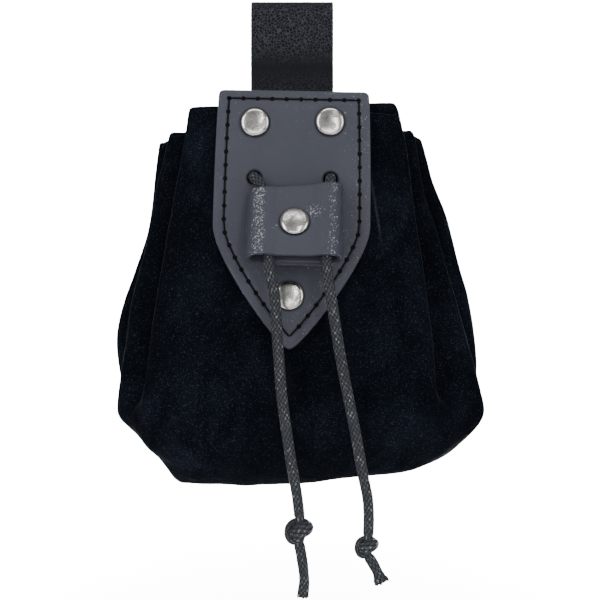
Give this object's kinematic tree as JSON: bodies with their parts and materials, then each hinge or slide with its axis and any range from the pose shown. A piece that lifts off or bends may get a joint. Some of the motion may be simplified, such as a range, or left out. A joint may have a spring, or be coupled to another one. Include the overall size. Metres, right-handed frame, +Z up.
{
  "type": "medieval belt pouch",
  "caption": "Gathered velvet belt pouch with a riveted leather front plate, a cord slider, a knotted drawstring and a leather belt loop.",
  "frame": {"origin": "inside top of the belt loop, at the middle of its width, where it bears on the belt", "axes": "+Z up as worn, -Y out of the front plate towards the viewer, +X to the viewer's right, along the belt"},
  "size_m": [0.1273, 0.0655, 0.2045],
  "materials": {
    "velvet": "crushed velvet, near-black navy",
    "plate_leather": "satin, smooth dark grey-blue",
    "strap_leather": "satin, pebbled black",
    "nickel": "bright nickel",
    "waxed_cord": "waxed, braided charcoal"
  },
  "bodies": {
    "root": {"bag_body": "velvet", "front_plate": "plate_leather", "plate_rivet_left": "nickel", "plate_rivet_right": "nickel", "plate_rivet_tip": "nickel", "cord_slider": "plate_leather", "slider_rivet": "nickel", "belt_loop": "strap_leather", "loop_rivet_left": "nickel", "loop_rivet_right": "nickel", "drawstring": "waxed_cord", "left_cord": "waxed_cord", "right_cord": "waxed_cord", "left_knot": "waxed_cord", "right_knot": "waxed_cord", "left_tail": "waxed_cord", "right_tail": "waxed_cord"}
  },
  "joints": []
}
